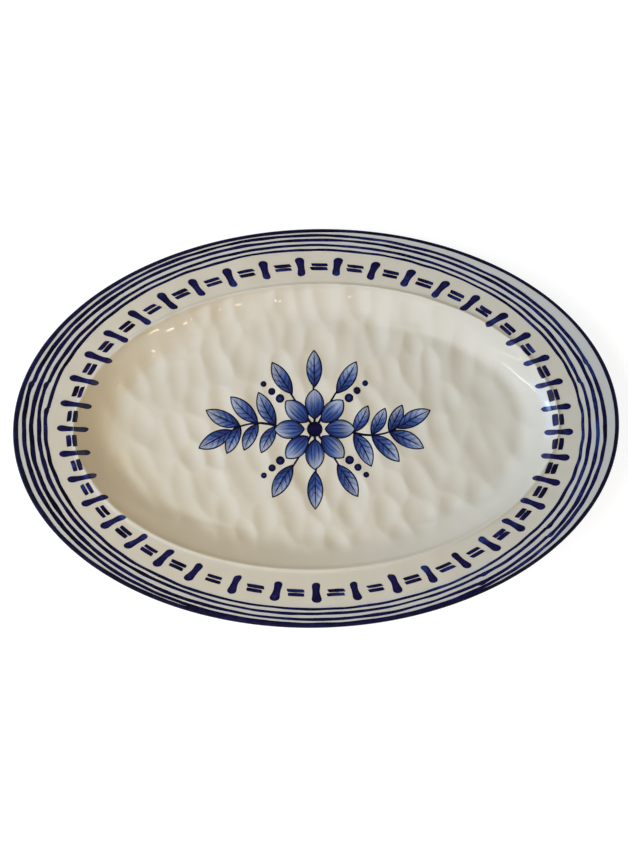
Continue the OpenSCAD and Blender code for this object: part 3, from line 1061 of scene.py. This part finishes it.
def seen_directly(tree):
    """1 for rays that show the background itself: from the camera, or through a shine or clear stuff."""
    path = add(tree, "LightPath").outputs
    shown = add(tree, "Math", {0: path["Is Camera Ray"], 1: path["Is Glossy Ray"]}, operation="MAXIMUM")
    both = add(tree, "Math", {0: shown.outputs["Value"], 1: path["Is Transmission Ray"]}, operation="MAXIMUM")
    return both.outputs["Value"]


paper, tree = new_material("studio_paper_matt")
matt = add(tree, "BsdfDiffuse", {"Color": linear("#8c8c8c")}).outputs["BSDF"]
strength = add(tree, "Math", {0: seen_directly(tree), 1: floor_white}, operation="MULTIPLY").outputs["Value"]
glow = add(tree, "Emission", {"Color": linear("#ffffff"), "Strength": strength}).outputs["Emission"]
both = add(tree, "AddShader", {0: matt, 1: glow}).outputs["Shader"]
add(tree, "OutputMaterial", {"Surface": both})

floor_corners = [(x * floor_half, y * floor_half, 0) for x, y in ((-1, -1), (1, -1), (1, 1), (-1, 1))]
floor_mesh = bpy.data.meshes.new("studio_floor")
floor_mesh.from_pydata(floor_corners, [], [(0, 1, 2, 3)])
floor_mesh.materials.append(paper)
floor = bpy.data.objects.new("studio_floor", floor_mesh)
bpy.context.scene.collection.objects.link(floor)
print(f"floor {2 * floor_half:.0f} m wide")

# %% World
horizon_climb = 0.12
dim_axis = (0.0, 0.31, 0.95)
bright_end, dim_start = 0.35, 0.9
room_bright, room_dim = 0.46, 0.045

world = bpy.data.worlds.new("studio")
bpy.context.scene.world = world
world.use_nodes = True
tree = world.node_tree
tree.nodes.clear()
facing = add(tree, "TexCoord").outputs["Generated"]
climb = add(tree, "SeparateXYZ", {"Vector": facing}).outputs["Z"]
low = add(tree, "MapRange", {
    "Value": climb, "From Min": 0.0, "From Max": horizon_climb, "To Min": 1.0, "To Max": 0.0},
    interpolation_type="SMOOTHSTEP").outputs["Result"]
path = add(tree, "LightPath").outputs
through = add(tree, "Math", {0: path["Is Camera Ray"], 1: path["Is Transmission Ray"]}, operation="MAXIMUM")
mirrored = add(tree, "Math", {0: path["Is Glossy Ray"], 1: low}, operation="MULTIPLY").outputs["Value"]
sweep = add(tree, "Math", {0: through.outputs["Value"], 1: mirrored}, operation="MAXIMUM").outputs["Value"]
toward_dim = add(tree, "VectorMath", {0: facing, 1: dim_axis}, operation="DOT_PRODUCT").outputs["Value"]
level = add(tree, "MapRange", {
    "Value": toward_dim, "From Min": bright_end, "From Max": dim_start,
    "To Min": room_bright, "To Max": room_dim}, interpolation_type="SMOOTHSTEP").outputs["Result"]
room = add(tree, "Background", {"Color": linear("#fafaff"), "Strength": level}).outputs["Background"]
white = add(tree, "Background", {"Color": linear("#ffffff"), "Strength": 1.0}).outputs["Background"]
shown = add(tree, "MixShader", {0: sweep, 1: room, 2: white}).outputs["Shader"]
add(tree, "OutputWorld", {"Surface": shown})
print(f"room {room_bright} low down and {room_dim} overhead")

# %% [markdown]
# ## Lamps
#
# One lamp could light the platter and shine in its gloss, but the two would then be tied together. Here some
# lamps only light it and others are only mirrored. Two cool windows far on the left, a warm doorway in front
# and two small warm lamps over the platter give the light: it comes low from one side, so that it rakes over
# the dents and shows them. The mirrored ones are a blue sheen and a bright pane on the wall of the well on
# the right, a thin tube that draws a streak along that wall's upper part, and a warm lamp in front that
# glints on the far wall.

# %% Soft boxes
def soft_box(name, toward, distance, size, watts, hue, mirrored):
    """An area lamp, unseen by the camera, that either lights the platter or is only mirrored in its gloss."""
    lamp = bpy.data.lights.new(name, "AREA")
    lamp.shape = "RECTANGLE"
    lamp.size, lamp.size_y = size
    lamp.energy = watts
    lamp.color = linear(hue)[:3]
    stand = bpy.data.objects.new(name, lamp)
    direction = Vector(toward).normalized()
    stand.location = direction * distance
    stand.rotation_mode = "QUATERNION"
    stand.rotation_quaternion = direction.to_track_quat("Z", "Y")
    stand.visible_camera = False
    stand.visible_glossy = mirrored
    stand.visible_diffuse = not mirrored
    bpy.context.scene.collection.objects.link(stand)
    print(f"{name}: {watts} W at {distance} m, {'only mirrored' if mirrored else 'only lights'}")


# %% Lamps that light the platter
soft_box("window_high", toward=(-0.763, -0.067, 0.643), distance=6.0, size=(5.0, 3.0), watts=279.0,
         hue="#badeff", mirrored=False)
soft_box("window_low", toward=(-0.858, -0.312, 0.407), distance=6.0, size=(5.0, 2.4), watts=184.0,
         hue="#6ca0ff", mirrored=False)
soft_box("door_front", toward=(-0.492, -0.587, 0.643), distance=6.0, size=(5.0, 3.0), watts=72.0,
         hue="#ffe29e", mirrored=False)
soft_box("lamp_over", toward=(-0.12, 0.04, 0.43), distance=0.45, size=(0.16, 0.16), watts=0.59,
         hue="#ffdaa6", mirrored=False)
soft_box("lamp_front", toward=(-0.05, -0.20, 0.40), distance=0.45, size=(0.2, 0.2), watts=0.25,
         hue="#ffdb8f", mirrored=False)

# %% Lamps that are only mirrored
soft_box("window_sheen", toward=(-0.970, -0.085, 0.225), distance=6.0, size=(6.5, 1.3), watts=66.0,
         hue="#7fb0ff", mirrored=True)
soft_box("window_pane", toward=(-0.960, -0.170, 0.222), distance=2.0, size=(0.36, 0.26), watts=3.6,
         hue="#9ec8ff", mirrored=True)
soft_box("tube_left", toward=(-0.715, -0.600, 0.358), distance=2.0, size=(1.0, 0.05), watts=1.7,
         hue="#fff6ea", mirrored=True)
soft_box("warm_front", toward=(0.32, -0.86, 0.39), distance=1.6, size=(0.2, 0.06), watts=0.5,
         hue="#ffdcb0", mirrored=True)

# %% [markdown]
# ## Camera
#
# The photograph looks almost straight down, a few degrees from the near side. Distance, tilt and turn were
# worked out from the outline of the lip in the picture, whose frame is 628 by 858 pixels.

# %% Camera
picture_height = 858
focal_pixels = 1178.7
target = Vector((-1.65, -1.65, 12.0)) * MM
distance = 900 * MM
azimuth, elevation = math.radians(1.365), math.radians(84.7)
level_reach = math.cos(elevation)
back = Vector((-math.sin(azimuth) * level_reach, -math.cos(azimuth) * level_reach, math.sin(elevation)))
right = (-back).cross(Vector((0, 0, 1))).normalized()
up = right.cross(-back)

lens = bpy.data.cameras.new("camera")
lens.sensor_width = 36.0
lens.lens = focal_pixels * lens.sensor_width / picture_height
lens.clip_start, lens.clip_end = 0.05, 50
camera = bpy.data.objects.new("camera", lens)
looking = Matrix((right, up, back)).transposed().to_4x4()
camera.matrix_world = Matrix.Translation(target + back * distance) @ looking
bpy.context.scene.collection.objects.link(camera)
bpy.context.scene.camera = camera
bpy.context.scene.view_settings.view_transform = "Standard"
print(f"camera {distance:.2f} m away, lens {lens.lens:.1f} mm")
